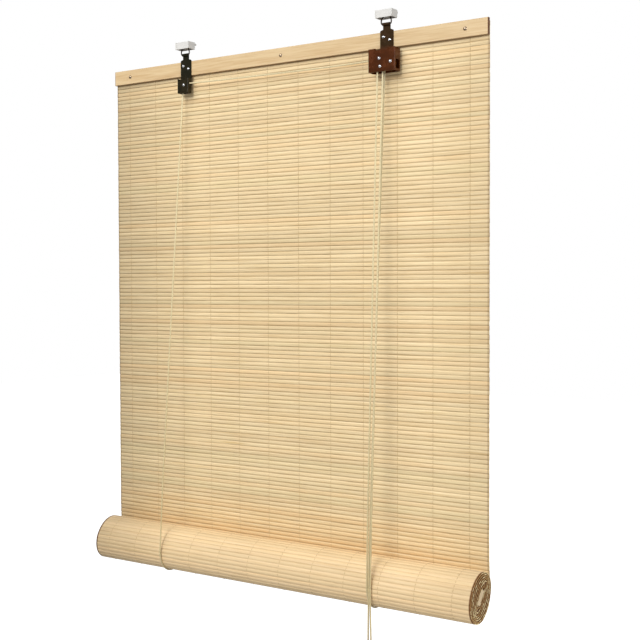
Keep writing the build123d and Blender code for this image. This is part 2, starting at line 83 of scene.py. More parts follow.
def makePiece(name, points, faces, material, uvs=None):
    # points and faces become one mesh, smooth but for its caps; each face's corners take their points' uvs
    mesh = bpy.data.meshes.new(name)
    mesh.from_pydata(points.reshape(-1, 3).tolist(), [], faces)
    if uvs is not None:
        layer = mesh.uv_layers.new(name="UVMap")
        corners = np.empty(len(mesh.loops), dtype=np.int32)
        mesh.loops.foreach_get("vertex_index", corners)
        layer.data.foreach_set("uv", uvs.reshape(-1, 2)[corners].astype(np.float32).ravel())
    shell = bmesh.new()
    shell.from_mesh(mesh)
    bmesh.ops.recalc_face_normals(shell, faces=shell.faces)
    shell.to_mesh(mesh)
    shell.free()
    mesh.polygons.foreach_set("use_smooth", np.array([len(face) == 4 for face in faces]))
    mesh.materials.append(material)
    piece = bpy.data.objects.new(name, mesh)
    scene.collection.objects.link(piece)
    return piece


def ringFaces(count, rows, sides):
    # count separate sleeves of rows x sides points, closed round the side and capped at both ends
    first = np.arange(count)[:, None, None] * rows * sides
    row = np.arange(rows - 1)[None, :, None] * sides
    side = np.arange(sides)[None, None, :]
    onward = (side + 1) % sides
    quads = np.stack([
        first + row + side, first + row + onward,
        first + row + sides + onward, first + row + sides + side], axis=-1).reshape(-1, 4)
    start = np.arange(count)[:, None] * rows * sides + np.arange(sides)[None, ::-1]
    end = np.arange(count)[:, None] * rows * sides + (rows - 1) * sides + np.arange(sides)[None, :]
    return quads.tolist() + start.tolist() + end.tolist()


def squared(wave, power):
    # a cosine or sine raised to a small power, which swells a circle towards a square
    return np.sign(wave) * np.abs(wave) ** power


def cordLine(route, fineness):
    # the smooth line of a route: a NURBS spline with the route's points as its control points
    curve = bpy.data.curves.new("route", "CURVE")
    curve.dimensions = "3D"
    spline = curve.splines.new("NURBS")
    spline.points.add(len(route) - 1)
    spline.points.foreach_set("co", np.c_[np.array(route), np.ones(len(route))].ravel())
    spline.order_u = 3
    spline.use_endpoint_u = True
    spline.resolution_u = fineness
    holder = bpy.data.objects.new("route", curve)
    scene.collection.objects.link(holder)
    line = bpy.data.meshes.new_from_object(holder)
    points = np.empty(len(line.vertices) * 3)
    line.vertices.foreach_get("co", points)
    bpy.data.objects.remove(holder)
    bpy.data.curves.remove(curve)
    bpy.data.meshes.remove(line)
    return points.reshape(-1, 3)


def tubeOf(name, lines, radius, sides, reference, material):
    # a circle is carried along each line, square to it; its first spoke leans towards the reference
    lines = np.asarray(lines)
    if lines.ndim == 2:
        lines = lines[None]
    ahead = np.gradient(lines, axis=1)
    ahead /= np.linalg.norm(ahead, axis=-1, keepdims=True)
    spoke = np.broadcast_to(np.asarray(reference, float), lines.shape)
    spoke = spoke - (spoke * ahead).sum(-1, keepdims=True) * ahead
    spoke /= np.linalg.norm(spoke, axis=-1, keepdims=True)
    other = np.cross(ahead, spoke)
    turn = 2 * np.pi * np.arange(sides) / sides
    spokes = spoke[:, :, None] * np.cos(turn)[:, None] + other[:, :, None] * np.sin(turn)[:, None]
    points = lines[:, :, None] + radius * spokes
    steps = np.linalg.norm(np.diff(lines, axis=1), axis=-1)
    run = np.concatenate([np.zeros((len(lines), 1)), np.cumsum(steps, axis=1)], axis=1)
    around = np.abs(2 * np.arange(sides) / sides - 1)  # up and down again, so that no seam shows
    uvs = np.stack(np.broadcast_arrays(around[None, None], run[:, :, None] / (2 * np.pi * radius)), -1)
    return makePiece(name, points, ringFaces(len(lines), lines.shape[1], sides), material, uvs)


# ways to make a material

def put(tree, kind, inputs=None, **settings):
    # one node, with its settings, and its inputs either set or linked
    node = tree.nodes.new(kind)
    for key, value in settings.items():
        setattr(node, key, value)
    for key, value in (inputs or {}).items():
        if isinstance(value, bpy.types.NodeSocket):
            tree.links.new(value, node.inputs[key])
        else:
            node.inputs[key].default_value = value
    return node


def calc(tree, operation, a, b=0.0, c=0.0):
    return put(tree, "ShaderNodeMath", {0: a, 1: b, 2: c}, operation=operation).outputs[0]


def mixColor(tree, share, a, b, blend="MIX"):
    node = put(tree, "ShaderNodeMix", data_type="RGBA", blend_type=blend)
    for key, value in (("Factor_Float", share), ("A_Color", a), ("B_Color", b)):
        socket = next(s for s in node.inputs if s.identifier == key)
        if isinstance(value, bpy.types.NodeSocket):
            tree.links.new(value, socket)
        else:
            socket.default_value = value
    return next(s for s in node.outputs if s.identifier == "Result_Color")


def ramp(tree, value, low, high, toLow=0.0, toHigh=1.0):
    # a soft step: toLow below low, toHigh above high
    return put(tree, "ShaderNodeMapRange", {
        "Value": value, "From Min": low, "From Max": high, "To Min": toLow, "To Max": toHigh},
        interpolation_type="SMOOTHSTEP").outputs["Result"]


def noise(tree, vector, scale, detail, roughness=0.5):
    return put(tree, "ShaderNodeTexNoise", {
        "Vector": vector, "Scale": scale, "Detail": detail, "Roughness": roughness}).outputs["Fac"]


def chances(tree, dimensions, inputs):
    # three random shares that belong to one number or one place
    drawn = put(tree, "ShaderNodeTexWhiteNoise", inputs, noise_dimensions=dimensions)
    return put(tree, "ShaderNodeSeparateColor", {0: drawn.outputs["Color"]}).outputs


def vectorOf(tree, x, y, z=0.0):
    return put(tree, "ShaderNodeCombineXYZ", {"X": x, "Y": y, "Z": z}).outputs[0]


def partsOf(tree, vector):
    return put(tree, "ShaderNodeSeparateXYZ", {0: vector}).outputs


def scaled(tree, vector, factors):
    return put(tree, "ShaderNodeMapping", {"Vector": vector, "Scale": factors}).outputs["Vector"]


def objectPlace(tree):
    return tree.nodes.new("ShaderNodeTexCoord").outputs["Object"]


def uvPlace(tree):
    return put(tree, "ShaderNodeUVMap", uv_map="UVMap").outputs[0]


def newGroup(name, inputs, outputs):
    group = bpy.data.node_groups.new(name, "ShaderNodeTree")
    for socketName, kind, value in inputs:
        socket = group.interface.new_socket(socketName, in_out="INPUT", socket_type=kind)
        if value is not None:
            socket.default_value = value
    for socketName, kind in outputs:
        group.interface.new_socket(socketName, in_out="OUTPUT", socket_type=kind)
    start = group.nodes.new("NodeGroupInput")
    end = group.nodes.new("NodeGroupOutput")
    return group, start.outputs, end.inputs


def placed(tree, group, inputs):
    return put(tree, "ShaderNodeGroup", inputs, node_tree=group).outputs


def shaded(name, **settings):
    # a material with its Principled BSDF, whose constant values are set on the shader's own sockets
    material = bpy.data.materials.new(name)
    material.use_nodes = True
    tree = material.node_tree
    shader = tree.nodes["Principled BSDF"]
    for key, value in settings.items():
        shader.inputs[key.replace("_", " ")].default_value = value
    return material, tree, shader


def surface(tree, shader, color, roughness, height, bump):
    # what changes over the surface: its colour, how rough it is, and its relief, as (strength, depth)
    tree.links.new(color, shader.inputs["Base Color"])
    tree.links.new(roughness, shader.inputs["Roughness"])
    relief = put(tree, "ShaderNodeBump", {"Strength": bump[0], "Distance": bump[1], "Height": height})
    tree.links.new(relief.outputs[0], shader.inputs["Normal"])


def srgb(red, green, blue):
    def linear(c):
        c /= 255
        return c / 12.92 if c <= 0.04045 else ((c + 0.055) / 1.055) ** 2.4
    return (linear(red), linear(green), linear(blue), 1.0)


def dimmed(color, share):
    return tuple(share * c for c in color[:3]) + (1.0,)


print("frame read, making finishes")

# Cut bamboo: long fibres along the first axis, faint bands of tone, and now and then the dark
# smudge of a joint in the cane. The place comes in metres: along the fibre, across it, and depth.
# Fibres and bands each darken the colour by their share, and a joint dips a little.
bambooFinish = {
    "fibresAlong": 24.0, "fibresAcross": 2600.0, "fibreRange": (0.35, 0.75), "fibreShare": 0.45,
    "bandsAlong": 15.0, "bandsAcross": 620.0, "bandRange": (0.3, 0.8), "bandShare": 0.45,
    "jointAlong": 7.0, "jointAcross": 181.8, "jointRange": (0.70, 0.80), "jointDip": 0.5,
    "roughness": (0.42, 0.62),
}


def makeBambooGrain():
    group, given, out = newGroup("bambooGrain", [
        ("Place", "NodeSocketVector", None), ("Light", "NodeSocketColor", (0.8, 0.7, 0.5, 1)),
        ("Dark", "NodeSocketColor", (0.5, 0.4, 0.2, 1)), ("Joints", "NodeSocketFloat", 0.5)],
        [("Color", "NodeSocketColor"), ("Roughness", "NodeSocketFloat"), ("Height", "NodeSocketFloat")])
    look = bambooFinish

    def streaks(kind, detail, roughness):
        along, across = look[kind + "Along"], look[kind + "Across"]
        place = scaled(group, given["Place"], (along, across, across))
        return noise(group, place, 1.0, detail, roughness)

    fibres = streaks("fibres", 3.0, 0.6)
    bands = streaks("bands", 2.0, 0.5)
    smudge = streaks("joint", 1.0, 0.4)
    joint = calc(group, "MULTIPLY", ramp(group, smudge, *look["jointRange"]), given["Joints"])
    fibreShade = calc(group, "MULTIPLY", ramp(group, fibres, *look["fibreRange"]), look["fibreShare"])
    bandShade = calc(group, "MULTIPLY", ramp(group, bands, *look["bandRange"]), look["bandShare"])
    shade = calc(group, "ADD", calc(group, "ADD", fibreShade, bandShade), joint)
    shade = calc(group, "MINIMUM", shade, 1.0)
    dip = calc(group, "MULTIPLY", joint, look["jointDip"])
    group.links.new(mixColor(group, shade, given["Light"], given["Dark"]), out["Color"])
    group.links.new(ramp(group, fibres, 0.2, 0.8, *look["roughness"]), out["Roughness"])
    group.links.new(calc(group, "SUBTRACT", fibres, dip), out["Height"])
    return group


bambooGrain = makeBambooGrain()


# Handling marks: broad, faint clouds for roughness, and fine short scratches for height.
markFinish = {"cloudRange": (0.3, 0.7), "scratchStretch": (1.0, 3.0, 9.0), "scratchFineness": 6.0}


def makeHandling():
    group, given, out = newGroup("handling", [
        ("Place", "NodeSocketVector", None), ("Size", "NodeSocketFloat", 100.0),
        ("Low", "NodeSocketFloat", 0.2), ("High", "NodeSocketFloat", 0.4)],
        [("Roughness", "NodeSocketFloat"), ("Mask", "NodeSocketFloat"), ("Height", "NodeSocketFloat")])
    look = markFinish
    clouds = ramp(group, noise(group, given["Place"], given["Size"], 4.0, 0.6), *look["cloudRange"])
    scratchSize = calc(group, "MULTIPLY", given["Size"], look["scratchFineness"])
    scratches = noise(group, scaled(group, given["Place"], look["scratchStretch"]), scratchSize, 2.0)
    spread = calc(group, "SUBTRACT", given["High"], given["Low"])
    group.links.new(calc(group, "MULTIPLY_ADD", clouds, spread, given["Low"]), out["Roughness"])
    group.links.new(clouds, out["Mask"])
    group.links.new(scratches, out["Height"])
    return group


handling = makeHandling()


def makeBraid():
    # two families of yarns cross on the slant, and over and under change place like a chessboard
    group, given, out = newGroup("braid", [
        ("Around", "NodeSocketFloat", 0.0), ("Along", "NodeSocketFloat", 0.0),
        ("Yarns", "NodeSocketFloat", 4.0)],
        [("Height", "NodeSocketFloat"), ("Tone", "NodeSocketFloat")])
    around = calc(group, "MULTIPLY", given["Around"], given["Yarns"])
    along = calc(group, "MULTIPLY", given["Along"], given["Yarns"])
    right = calc(group, "ADD", around, along)
    left = calc(group, "SUBTRACT", along, around)
    ridges = [calc(group, "SINE", calc(group, "MULTIPLY", calc(group, "FRACT", slant), math.pi))
              for slant in (right, left)]
    board = calc(group, "ADD", calc(group, "FLOOR", right), calc(group, "FLOOR", left))
    over = calc(group, "GREATER_THAN", calc(group, "FLOORED_MODULO", board, 2.0), 0.5)
    under = calc(group, "SUBTRACT", 1.0, over)
    height = calc(group, "ADD", calc(group, "MULTIPLY", ridges[0], over),
                  calc(group, "MULTIPLY", ridges[1], under))
    group.links.new(height, out["Height"])
    yarn = put(group, "ShaderNodeTexWhiteNoise", {"W": calc(group, "FLOOR", right)}, noise_dimensions="1D")
    group.links.new(yarn.outputs["Value"], out["Tone"])
    return group


braid = makeBraid()

slatPitch = 5.5 * mm  # from one slat of the mat to the next
thread = {
    "radius": 0.25 * mm, "sides": 5, "samplesPerSlat": 4, "columns": 12, "columnPitch": 50.0 * mm,
    "standOff": 0.35, "apart": 0.9,  # in radii: off the slats' faces, and twin from twin at a crossing
}
outerColumn = (thread["columns"] - 1) / 2 * thread["columnPitch"]  # from the mat's middle
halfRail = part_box("head_batten_front")[1].x
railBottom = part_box("head_batten_front")[0].z

# Split bamboo slats: the uv map gives metres along a slat and metres down the mat, so every slat
# has its own tone, its own warmth and its own stretch of fibre, a curved face, painted shade in its
# groove, painted light that changes between thread columns, and near the roll painted warm bounce light.
slatFinish = {
    "light": srgb(239, 217, 172), "dark": srgb(211, 180, 126), "warm": srgb(226, 188, 134),
    # the dark brown here is painted shade for the grooves between slats
    "cool": srgb(218, 200, 152), "seam": srgb(128, 90, 46), "paintedRollBounce": srgb(226, 182, 118),
    "endGrain": srgb(250, 226, 170), "darkEndGrain": srgb(190, 150, 92), "rimColor": srgb(112, 70, 28),
    "joints": 0.5, "fibreShift": 3.0,  # metres along the cane, so that no two slats share their fibre
    # the orange near the roll is painted warm bounce light from it, mixed in from 0.56 m down the mat
    # onwards
    "hueAndBounceShare": 0.4, "hueRange": (0.6, 1.0), "paintedRollBounceRange": (0.56, 0.65),
    # slat tones differ at random; cell tones are painted light, with a turned slat lit a little brighter or
    # darker
    "slatTones": (0.93, 1.03), "cellLightTones": (0.985, 1.015),
    # away from a slat's crest, painted shade darkens its groove, more in some cells and in the painted
    # shadow streaks
    "crest": 0.43, "crestShift": 0.08, "grooveShadeRange": (0.28, 0.55), "leastGrooveShade": 0.1, "cellGrooveShade": 0.4,
    "shadowsAlong": 34.0, "shadowsDown": 7.3, "shadowRange": (0.3, 0.7), "shadowDepths": (0.1, 1.3),
    "rimFrom": 3.2 * mm, "rimTo": 1.6 * mm, "cutRange": (0.6, 0.8), "endGrainRange": (0.35, 0.65),
    "grainRelief": 0.10, "bump": (1.0, 0.001),
}


def makeSlatMaterial(name, paintedLightTint, seam, crown, rimShare):
    look = slatFinish
    material, tree, shader = shaded(name, Specular_IOR_Level=0.35)
    along, down = partsOf(tree, uvPlace(tree))[:2]
    count = calc(tree, "DIVIDE", down, slatPitch)
    number = calc(tree, "FLOOR", count)
    own = chances(tree, "1D", {"W": number})
    place = vectorOf(tree, calc(tree, "MULTIPLY_ADD", own[0], look["fibreShift"], along), down, own[1])
    grain = placed(tree, bambooGrain, {
        "Place": place, "Light": look["light"], "Dark": look["dark"], "Joints": look["joints"]})
    toned = grain["Color"]
    # random warm and cool hues, and painted warm bounce light from the roll on the lowest slats and on the
    # roll
    huesAndBounce = ((own[0], "hueRange", "warm"), (own[1], "hueRange", "cool"), (down, "paintedRollBounceRange", "paintedRollBounce"))
    for value, extent, hue in huesAndBounce:
        toned = mixColor(tree, ramp(tree, value, *look[extent], 0.0, look["hueAndBounceShare"]), toned, look[hue])
    # between two thread columns each slat turns a little, so its painted light changes from cell to cell:
    # a little brighter or darker, its crest shifted, and its painted groove shade deeper or fainter
    fromFirst = calc(tree, "ADD", along, outerColumn)
    column = calc(tree, "FLOOR", calc(tree, "DIVIDE", fromFirst, thread["columnPitch"]))
    cell = chances(tree, "3D", {"Vector": vectorOf(tree, number, column)})
    value = calc(tree, "MULTIPLY", ramp(tree, own[2], 0.0, 1.0, *look["slatTones"]),
                 ramp(tree, cell[0], 0.0, 1.0, *look["cellLightTones"]))
    bright = put(tree, "ShaderNodeVectorMath", {0: paintedLightTint, "Scale": value}, operation="SCALE").outputs[0]
    toned = mixColor(tree, 1.0, toned, bright, "MULTIPLY")
    # the crest, where no painted groove shade falls, shifts a little in each cell
    crest = calc(tree, "MULTIPLY_ADD", cell[1], look["crestShift"], look["crest"])
    edge = calc(tree, "ABSOLUTE", calc(tree, "SUBTRACT", calc(tree, "FRACT", count), crest))
    shadowPlace = vectorOf(tree, calc(tree, "MULTIPLY", along, look["shadowsAlong"]),
                           calc(tree, "MULTIPLY", number, look["shadowsDown"]))
    faint, deep = (share * seam for share in look["shadowDepths"])
    shadow = ramp(tree, noise(tree, shadowPlace, 1.0, 2.0), *look["shadowRange"], faint, deep)
    # how dark the painted groove shade is: a little everywhere, more in some cells and in the painted
    # shadow streaks
    depth = calc(tree, "MULTIPLY_ADD", cell[2], look["cellGrooveShade"] * seam, look["leastGrooveShade"] * seam)
    depth = calc(tree, "ADD", depth, shadow)
    paintedGrooveShade = ramp(tree, edge, *look["grooveShadeRange"], 0.0, depth)
    toned = mixColor(tree, paintedGrooveShade, toned, look["seam"])
    # the last millimetres of a slat are browned, and its cut end is light or dark end grain
    nearEnd = ramp(tree, calc(tree, "ABSOLUTE", along), halfRail - look["rimFrom"],
                   halfRail - look["rimTo"], 0.0, rimShare)
    toned = mixColor(tree, nearEnd, toned, look["rimColor"])
    facing = partsOf(tree, tree.nodes.new("ShaderNodeNewGeometry").outputs["True Normal"])
    cut = ramp(tree, calc(tree, "ABSOLUTE", facing["X"]), *look["cutRange"])
    darkEnd = ramp(tree, own[1], *look["endGrainRange"])
    end = mixColor(tree, darkEnd, look["endGrain"], look["darkEndGrain"])
    toned = mixColor(tree, cut, toned, end)
    face = calc(tree, "MULTIPLY", calc(tree, "POWER", edge, 2.0), -crown)
    height = calc(tree, "MULTIPLY_ADD", grain["Height"], look["grainRelief"], face)
    surface(tree, shader, toned, grain["Roughness"], height, look["bump"])
    return material


# the rolled slats are a lit copy: painted lighter and whiter, as painted light on the roll, with fainter
# painted groove shade
hangingBamboo = makeSlatMaterial("hangingBamboo", (1.0, 1.0, 1.03), 0.34, 0.9, 0.35)
rolledBamboo = makeSlatMaterial("rolledBamboo", (1.06, 1.10, 1.26), 0.24, 0.3, 1.0)

# Planed laths: the same grain drawn out wider, with sawn ends and the lower edge mixed towards an end grain
# colour. On the front lath it is dark: darker end grain with painted shade, and along the lower edge
# painted shade under the rail.
lathFinish = {
    "light": srgb(218, 192, 149), "dark": srgb(190, 154, 105), "joints": 0.25,
    "grainSize": (1.0, 0.35, 0.35), "endFrom": 0.9 * mm, "endTo": 0.1 * mm,
    "edgeFrom": 0.1 * mm, "edgeTo": 0.6 * mm, "edgeShare": 0.6, "bump": (0.2, 0.0002),
}


def makeLathMaterial(name, endGrain):
    look = lathFinish
    material, tree, shader = shaded(name, Specular_IOR_Level=0.4, Coat_Weight=0.15, Coat_Roughness=0.35)
    grain = placed(tree, bambooGrain, {
        "Place": scaled(tree, objectPlace(tree), look["grainSize"]), "Light": look["light"],
        "Dark": look["dark"], "Joints": look["joints"]})
    place = partsOf(tree, objectPlace(tree))
    end = ramp(tree, calc(tree, "ABSOLUTE", place["X"]),
               halfRail - look["endFrom"], halfRail - look["endTo"])
    edge = ramp(tree, place["Z"], railBottom + look["edgeFrom"], railBottom + look["edgeTo"],
                look["edgeShare"], 0.0)
    ended = mixColor(tree, calc(tree, "MAXIMUM", end, edge), grain["Color"], endGrain)
    surface(tree, shader, ended, grain["Roughness"], grain["Height"], look["bump"])
    return material


# Brown lacquer on steel: the coat thins to a redder brown in clouds, and is darkest up on the strap.
lacquerFinish = {
    "markSize": 70.0, "low": 0.2, "high": 0.36, "strapFrom": -52.0 * mm, "strapTo": -40.0 * mm,
    "strapShare": 0.8, "bump": (0.12, 0.0002),
}


def makeLacquer(name, low, high, top):
    look = lacquerFinish
    material, tree, shader = shaded(
        name, Metallic=0.1, Coat_Weight=0.1, Coat_Roughness=0.08, Specular_IOR_Level=0.15)
    marks = placed(tree, handling, {
        "Place": objectPlace(tree), "Size": look["markSize"], "Low": look["low"], "High": look["high"]})
    body = mixColor(tree, marks["Mask"], low, high)
    height = partsOf(tree, objectPlace(tree))["Z"]
    strap = ramp(tree, height, look["strapFrom"], look["strapTo"], 0.0, look["strapShare"])
    body = mixColor(tree, strap, body, top)
    surface(tree, shader, body, marks["Roughness"], marks["Height"], look["bump"])
    return material


# Bare metal and moulded plastic: one colour, dimmed in the clouds of the handling marks.
metalFinish = {"markSize": 400.0, "dim": 0.75, "bump": (0.08, 0.0001), "shader": {"Metallic": 1.0}}
plasticFinish = {
    "markSize": 220.0, "dim": 0.93, "bump": (0.1, 0.0002), "shader": {"Specular_IOR_Level": 0.5}}


def makePlain(name, look, color, low, high):
    material, tree, shader = shaded(name, **look["shader"])
    marks = placed(tree, handling, {
        "Place": objectPlace(tree), "Size": look["markSize"], "Low": low, "High": high})
    body = mixColor(tree, marks["Mask"], color, dimmed(color, look["dim"]))
    surface(tree, shader, body, marks["Roughness"], marks["Height"], look["bump"])
    return material


# Braided cord or twisted thread: lighter on the braid's ridges and darker in its hollows as painted shade,
# with a slight fuzz painted as the light it catches, and soiled towards the hands.
yarnFinish = {
    "lintSize": 900.0, "ridgeShadeShare": 0.6, "toneShare": 0.2, "lintShare": 0.4, "offset": -0.1,
    "soil": srgb(180, 153, 94), "soilFrom": -0.25, "soilTo": -0.68, "roughness": (0.65, 0.85),
    "bump": (0.6, 0.0003),
}


def makeYarnMaterial(name, light, dark, yarns, soil):
    look = yarnFinish
    material, tree, shader = shaded(name, Specular_IOR_Level=0.2, Sheen_Weight=0.35, Sheen_Roughness=0.5)
    around, along = partsOf(tree, uvPlace(tree))[:2]
    weave = placed(tree, braid, {"Around": around, "Along": along, "Yarns": yarns})
    lint = noise(tree, objectPlace(tree), look["lintSize"], 3.0)
    tone = calc(tree, "MULTIPLY", weave["Tone"], look["toneShare"])
    # the braid's relief is painted too: lighter ridges, and painted shade in the hollows between yarns
    share = calc(tree, "ADD", calc(tree, "MULTIPLY_ADD", weave["Height"], look["ridgeShadeShare"], tone),
                 calc(tree, "MULTIPLY_ADD", lint, look["lintShare"], look["offset"]))
    clean = mixColor(tree, share, dark, light)
    height = partsOf(tree, objectPlace(tree))["Z"]
    soiling = ramp(tree, height, look["soilFrom"], look["soilTo"], 0.0, soil)
    roughness = ramp(tree, lint, 0.3, 0.7, *look["roughness"])
    body = mixColor(tree, soiling, clean, look["soil"])
    surface(tree, shader, body, roughness, weave["Height"], look["bump"])
    return material


# the front lath's dark end colour is end grain with painted shade in it, and it also paints the shade under
# the rail
lathBamboo = makeLathMaterial("lathBamboo", srgb(112, 70, 36))
rearLathBamboo = makeLathMaterial("rearLathBamboo", srgb(232, 206, 166))
redLacquer = makeLacquer("redLacquer", srgb(66, 30, 4), srgb(90, 42, 6), srgb(42, 32, 8))
blackLacquer = makeLacquer("blackLacquer", srgb(26, 23, 9), srgb(46, 38, 16), srgb(24, 23, 9))
ringLacquer = makeLacquer("ringLacquer", srgb(46, 35, 22), srgb(72, 55, 36), srgb(52, 40, 26))
brightSteel = makePlain("brightSteel", metalFinish, srgb(226, 228, 232), 0.08, 0.2)
bronze = makePlain("bronze", metalFinish, srgb(176, 156, 132), 0.12, 0.26)
stapleSteel = makePlain("stapleSteel", metalFinish, srgb(170, 170, 172), 0.25, 0.45)
whiteClip = makePlain("whiteClip", plasticFinish, srgb(217, 215, 211), 0.22, 0.38)
darkNylon = makePlain("darkNylon", plasticFinish, srgb(52, 44, 38), 0.4, 0.55)
creamCord = makeYarnMaterial("creamCord", srgb(244, 230, 188), srgb(200, 183, 138), 4.0, 0.45)
matThread = makeYarnMaterial("matThread", srgb(216, 186, 134), srgb(152, 120, 74), 2.0, 0.0)

finishOf = {
    "head_batten_front": lathBamboo,
    "bracket_left": blackLacquer, "bracket_right": redLacquer, "lock_pawl": redLacquer,
    "ring_left": ringLacquer, "ring_right": ringLacquer,
    "rail_screws": bronze, "strap_screws": brightSteel, "axle_pin_left": brightSteel,
    "axle_pin_right": brightSteel, "lock_pin": brightSteel, "pawl_pin": brightSteel,
    "anchor_staples": stapleSteel, "ceiling_clip_left": whiteClip, "ceiling_clip_right": whiteClip,
    "pulley_left": darkNylon, "pulley_right": darkNylon,
}
for node, material in finishOf.items():
    frame["nodes"][node].material_slots[0].material = material

print("finishes made, weaving the mat")

# The mat is one long line of slats: straight down from the rail, then wound round the bottom batten
# in an oval spiral that leans back at its top. Each turn is an ellipse, whose half length and half
# width, in millimetres at each of these turns, hold at first, then shrink evenly, and faster round
# the core.
mat = {
    "thickness": 1.3 * mm, "overlap": 0.22 * mm, "clampedSlats": 3, "rowsAlong": 5,
    "wander": 0.07 * mm, "unevenEnd": 0.35 * mm, "unevenHeight": 0.01, "unevenDepth": 0.12, "seed": 7,
}
roll = {
    "lean": 37.0, "rise": 1.7 * mm, "turns": [0.0, 0.55, 4.7, 6.5],
    "halfLength": [31.6, 31.6, 22.6, 12.0], "halfWidth": [25.4, 25.4, 8.8, 3.3],
    "samples": 3600, "straightSamples": 400, "sideways": 3.2 * mm, "swaySlats": 8,
}
slatsLow, slatsHigh = lowHigh("hanging_slats")
halfWidth = (slatsHigh[0] - slatsLow[0]) / 2
matMiddleY = (slatsLow[1] + slatsHigh[1]) / 2
matTopZ = railBottom
axleZ = slatsLow[2]
liftTravel = travelOf("roll_lift")
lean = math.radians(roll["lean"])
longWay = np.array([math.sin(lean), math.cos(lean)])  # the oval's long axis, as (y, z)
wideWay = np.array([math.cos(lean), -math.sin(lean)])


def oval(halfLong, halfWide, angle):
    # points of an ellipse, as (y, z) from the roll's middle; angle 0 is the back end of its wide axis
    return (halfWide * np.cos(angle))[:, None] * wideWay + (halfLong * np.sin(angle))[:, None] * longWay


def makeMatLine():
    # the middle of the mat as one line of (y, z) points, with its running length
    skin = mat["thickness"] / 2
    length0, width0 = roll["halfLength"][0] * mm - skin, roll["halfWidth"][0] * mm - skin
    # the back of the first turn, where its line runs straight down
    firstAngle = math.atan2(length0 * longWay[0], width0 * wideWay[0])
    turned = np.linspace(0, roll["turns"][-1], roll["samples"])
    halfLong = np.interp(turned, roll["turns"], roll["halfLength"]) * mm - skin
    halfWide = np.interp(turned, roll["turns"], roll["halfWidth"]) * mm - skin
    spiral = oval(halfLong, halfWide, firstAngle - 2 * np.pi * turned)
    middleY = matMiddleY - spiral[0, 0]
    middleZ = axleZ + roll["rise"]
    spiral = spiral + [middleY, middleZ]
    clamped = mat["clampedSlats"] * slatPitch
    down = np.linspace(matTopZ + clamped, spiral[0, 1], roll["straightSamples"], endpoint=False)
    straight = np.stack([np.full(len(down), matMiddleY), down], -1)
    line = np.concatenate([straight, spiral])
    run = np.r_[0, np.cumsum(np.linalg.norm(np.diff(line, axis=0), axis=1))] - clamped
    return line, run, (middleY, middleZ), spiral[0, 1]


matPoints, matRun, rollMiddle, hangEndZ = makeMatLine()


def sway(run):
    # the roll was wound a little to one side: how far a slat or thread is shifted along X, by a soft
    # step from a few slats above the roll to as many round it
    reach = roll["swaySlats"] * slatPitch
    share = np.clip((np.asarray(run, float) - (matTopZ - hangEndZ) + reach) / (2 * reach), 0, 1)
    return roll["sideways"] * share ** 2 * (3 - 2 * share)


def matPlace(run):
    # at a distance down the mat: its place, its way on and its way out to the back, as (y, z)
    run = np.asarray(run, float)
    place, before, after = (
        np.stack([np.interp(run + shift, matRun, matPoints[:, axis]) for axis in (0, 1)], -1)
        for shift in (0, -0.5 * mm, 0.5 * mm))
    onward = after - before
    onward /= np.linalg.norm(onward, axis=-1, keepdims=True)
    outward = np.stack([-onward[..., 1], onward[..., 0]], -1)
    return place, onward, outward


# a slat's section, in half thicknesses out to the back and half heights down:
# crowned in front, flat behind
slatSection = np.array([
    [-0.50, -0.93], [-0.93, -0.52], [-1.0, 0.0], [-0.93, 0.52], [-0.50, 0.93],
    [0.35, 1.0], [0.97, 0.86], [1.0, 0.0], [0.97, -0.86], [0.35, -1.0]])


def makeSlats(name, first, last, material, seed):
    # the section is carried along X, wandering a little on a low wave; each slat's size differs slightly
    draw = np.random.default_rng(seed)
    number = np.arange(first, last)
    place, onward, outward = matPlace((number + 0.5) * slatPitch)
    rows, sides = mat["rowsAlong"], len(slatSection)
    along = np.linspace(-1, 1, rows)

    def uneven(half, share):
        return half * (1 + share * draw.uniform(-1, 1, (len(number), 1, 1)))

    height = uneven((slatPitch + mat["overlap"]) / 2, mat["unevenHeight"])
    depth = uneven(mat["thickness"] / 2, mat["unevenDepth"])
    waves = np.stack([along, along ** 2 - 0.5, np.sin(np.pi * along)])
    drift, shift = (
        np.clip(draw.normal(0, 0.5, (len(number), 3)) @ waves, -1, 1)[:, :, None] * mat["wander"]
        for twice in range(2))
    shorter = draw.uniform(0, mat["unevenEnd"], (len(number), 2))
    x = along * halfWidth + shorter[:, :1] * (1 - along) / 2 - shorter[:, 1:] * (1 + along) / 2
    out = depth * slatSection[:, 0] + shift
    on = height * slatSection[:, 1] + drift
    points = np.empty((len(number), rows, sides, 3))
    points[..., 0] = (x + sway((number + 0.5) * slatPitch)[:, None])[:, :, None]
    points[..., 1:] = (place[:, None, None] + outward[:, None, None] * out[..., None]
                       + onward[:, None, None] * on[..., None])
    # down the mat in the uv map, kept just inside the slat's own stretch
    down = (number[:, None, None] + 0.5 + 0.499 * slatSection[:, 1]) * slatPitch
    uvs = np.stack(np.broadcast_arrays(x[:, :, None], down), -1)
    return makePiece(name, points, ringFaces(len(number), rows, sides), material, uvs)


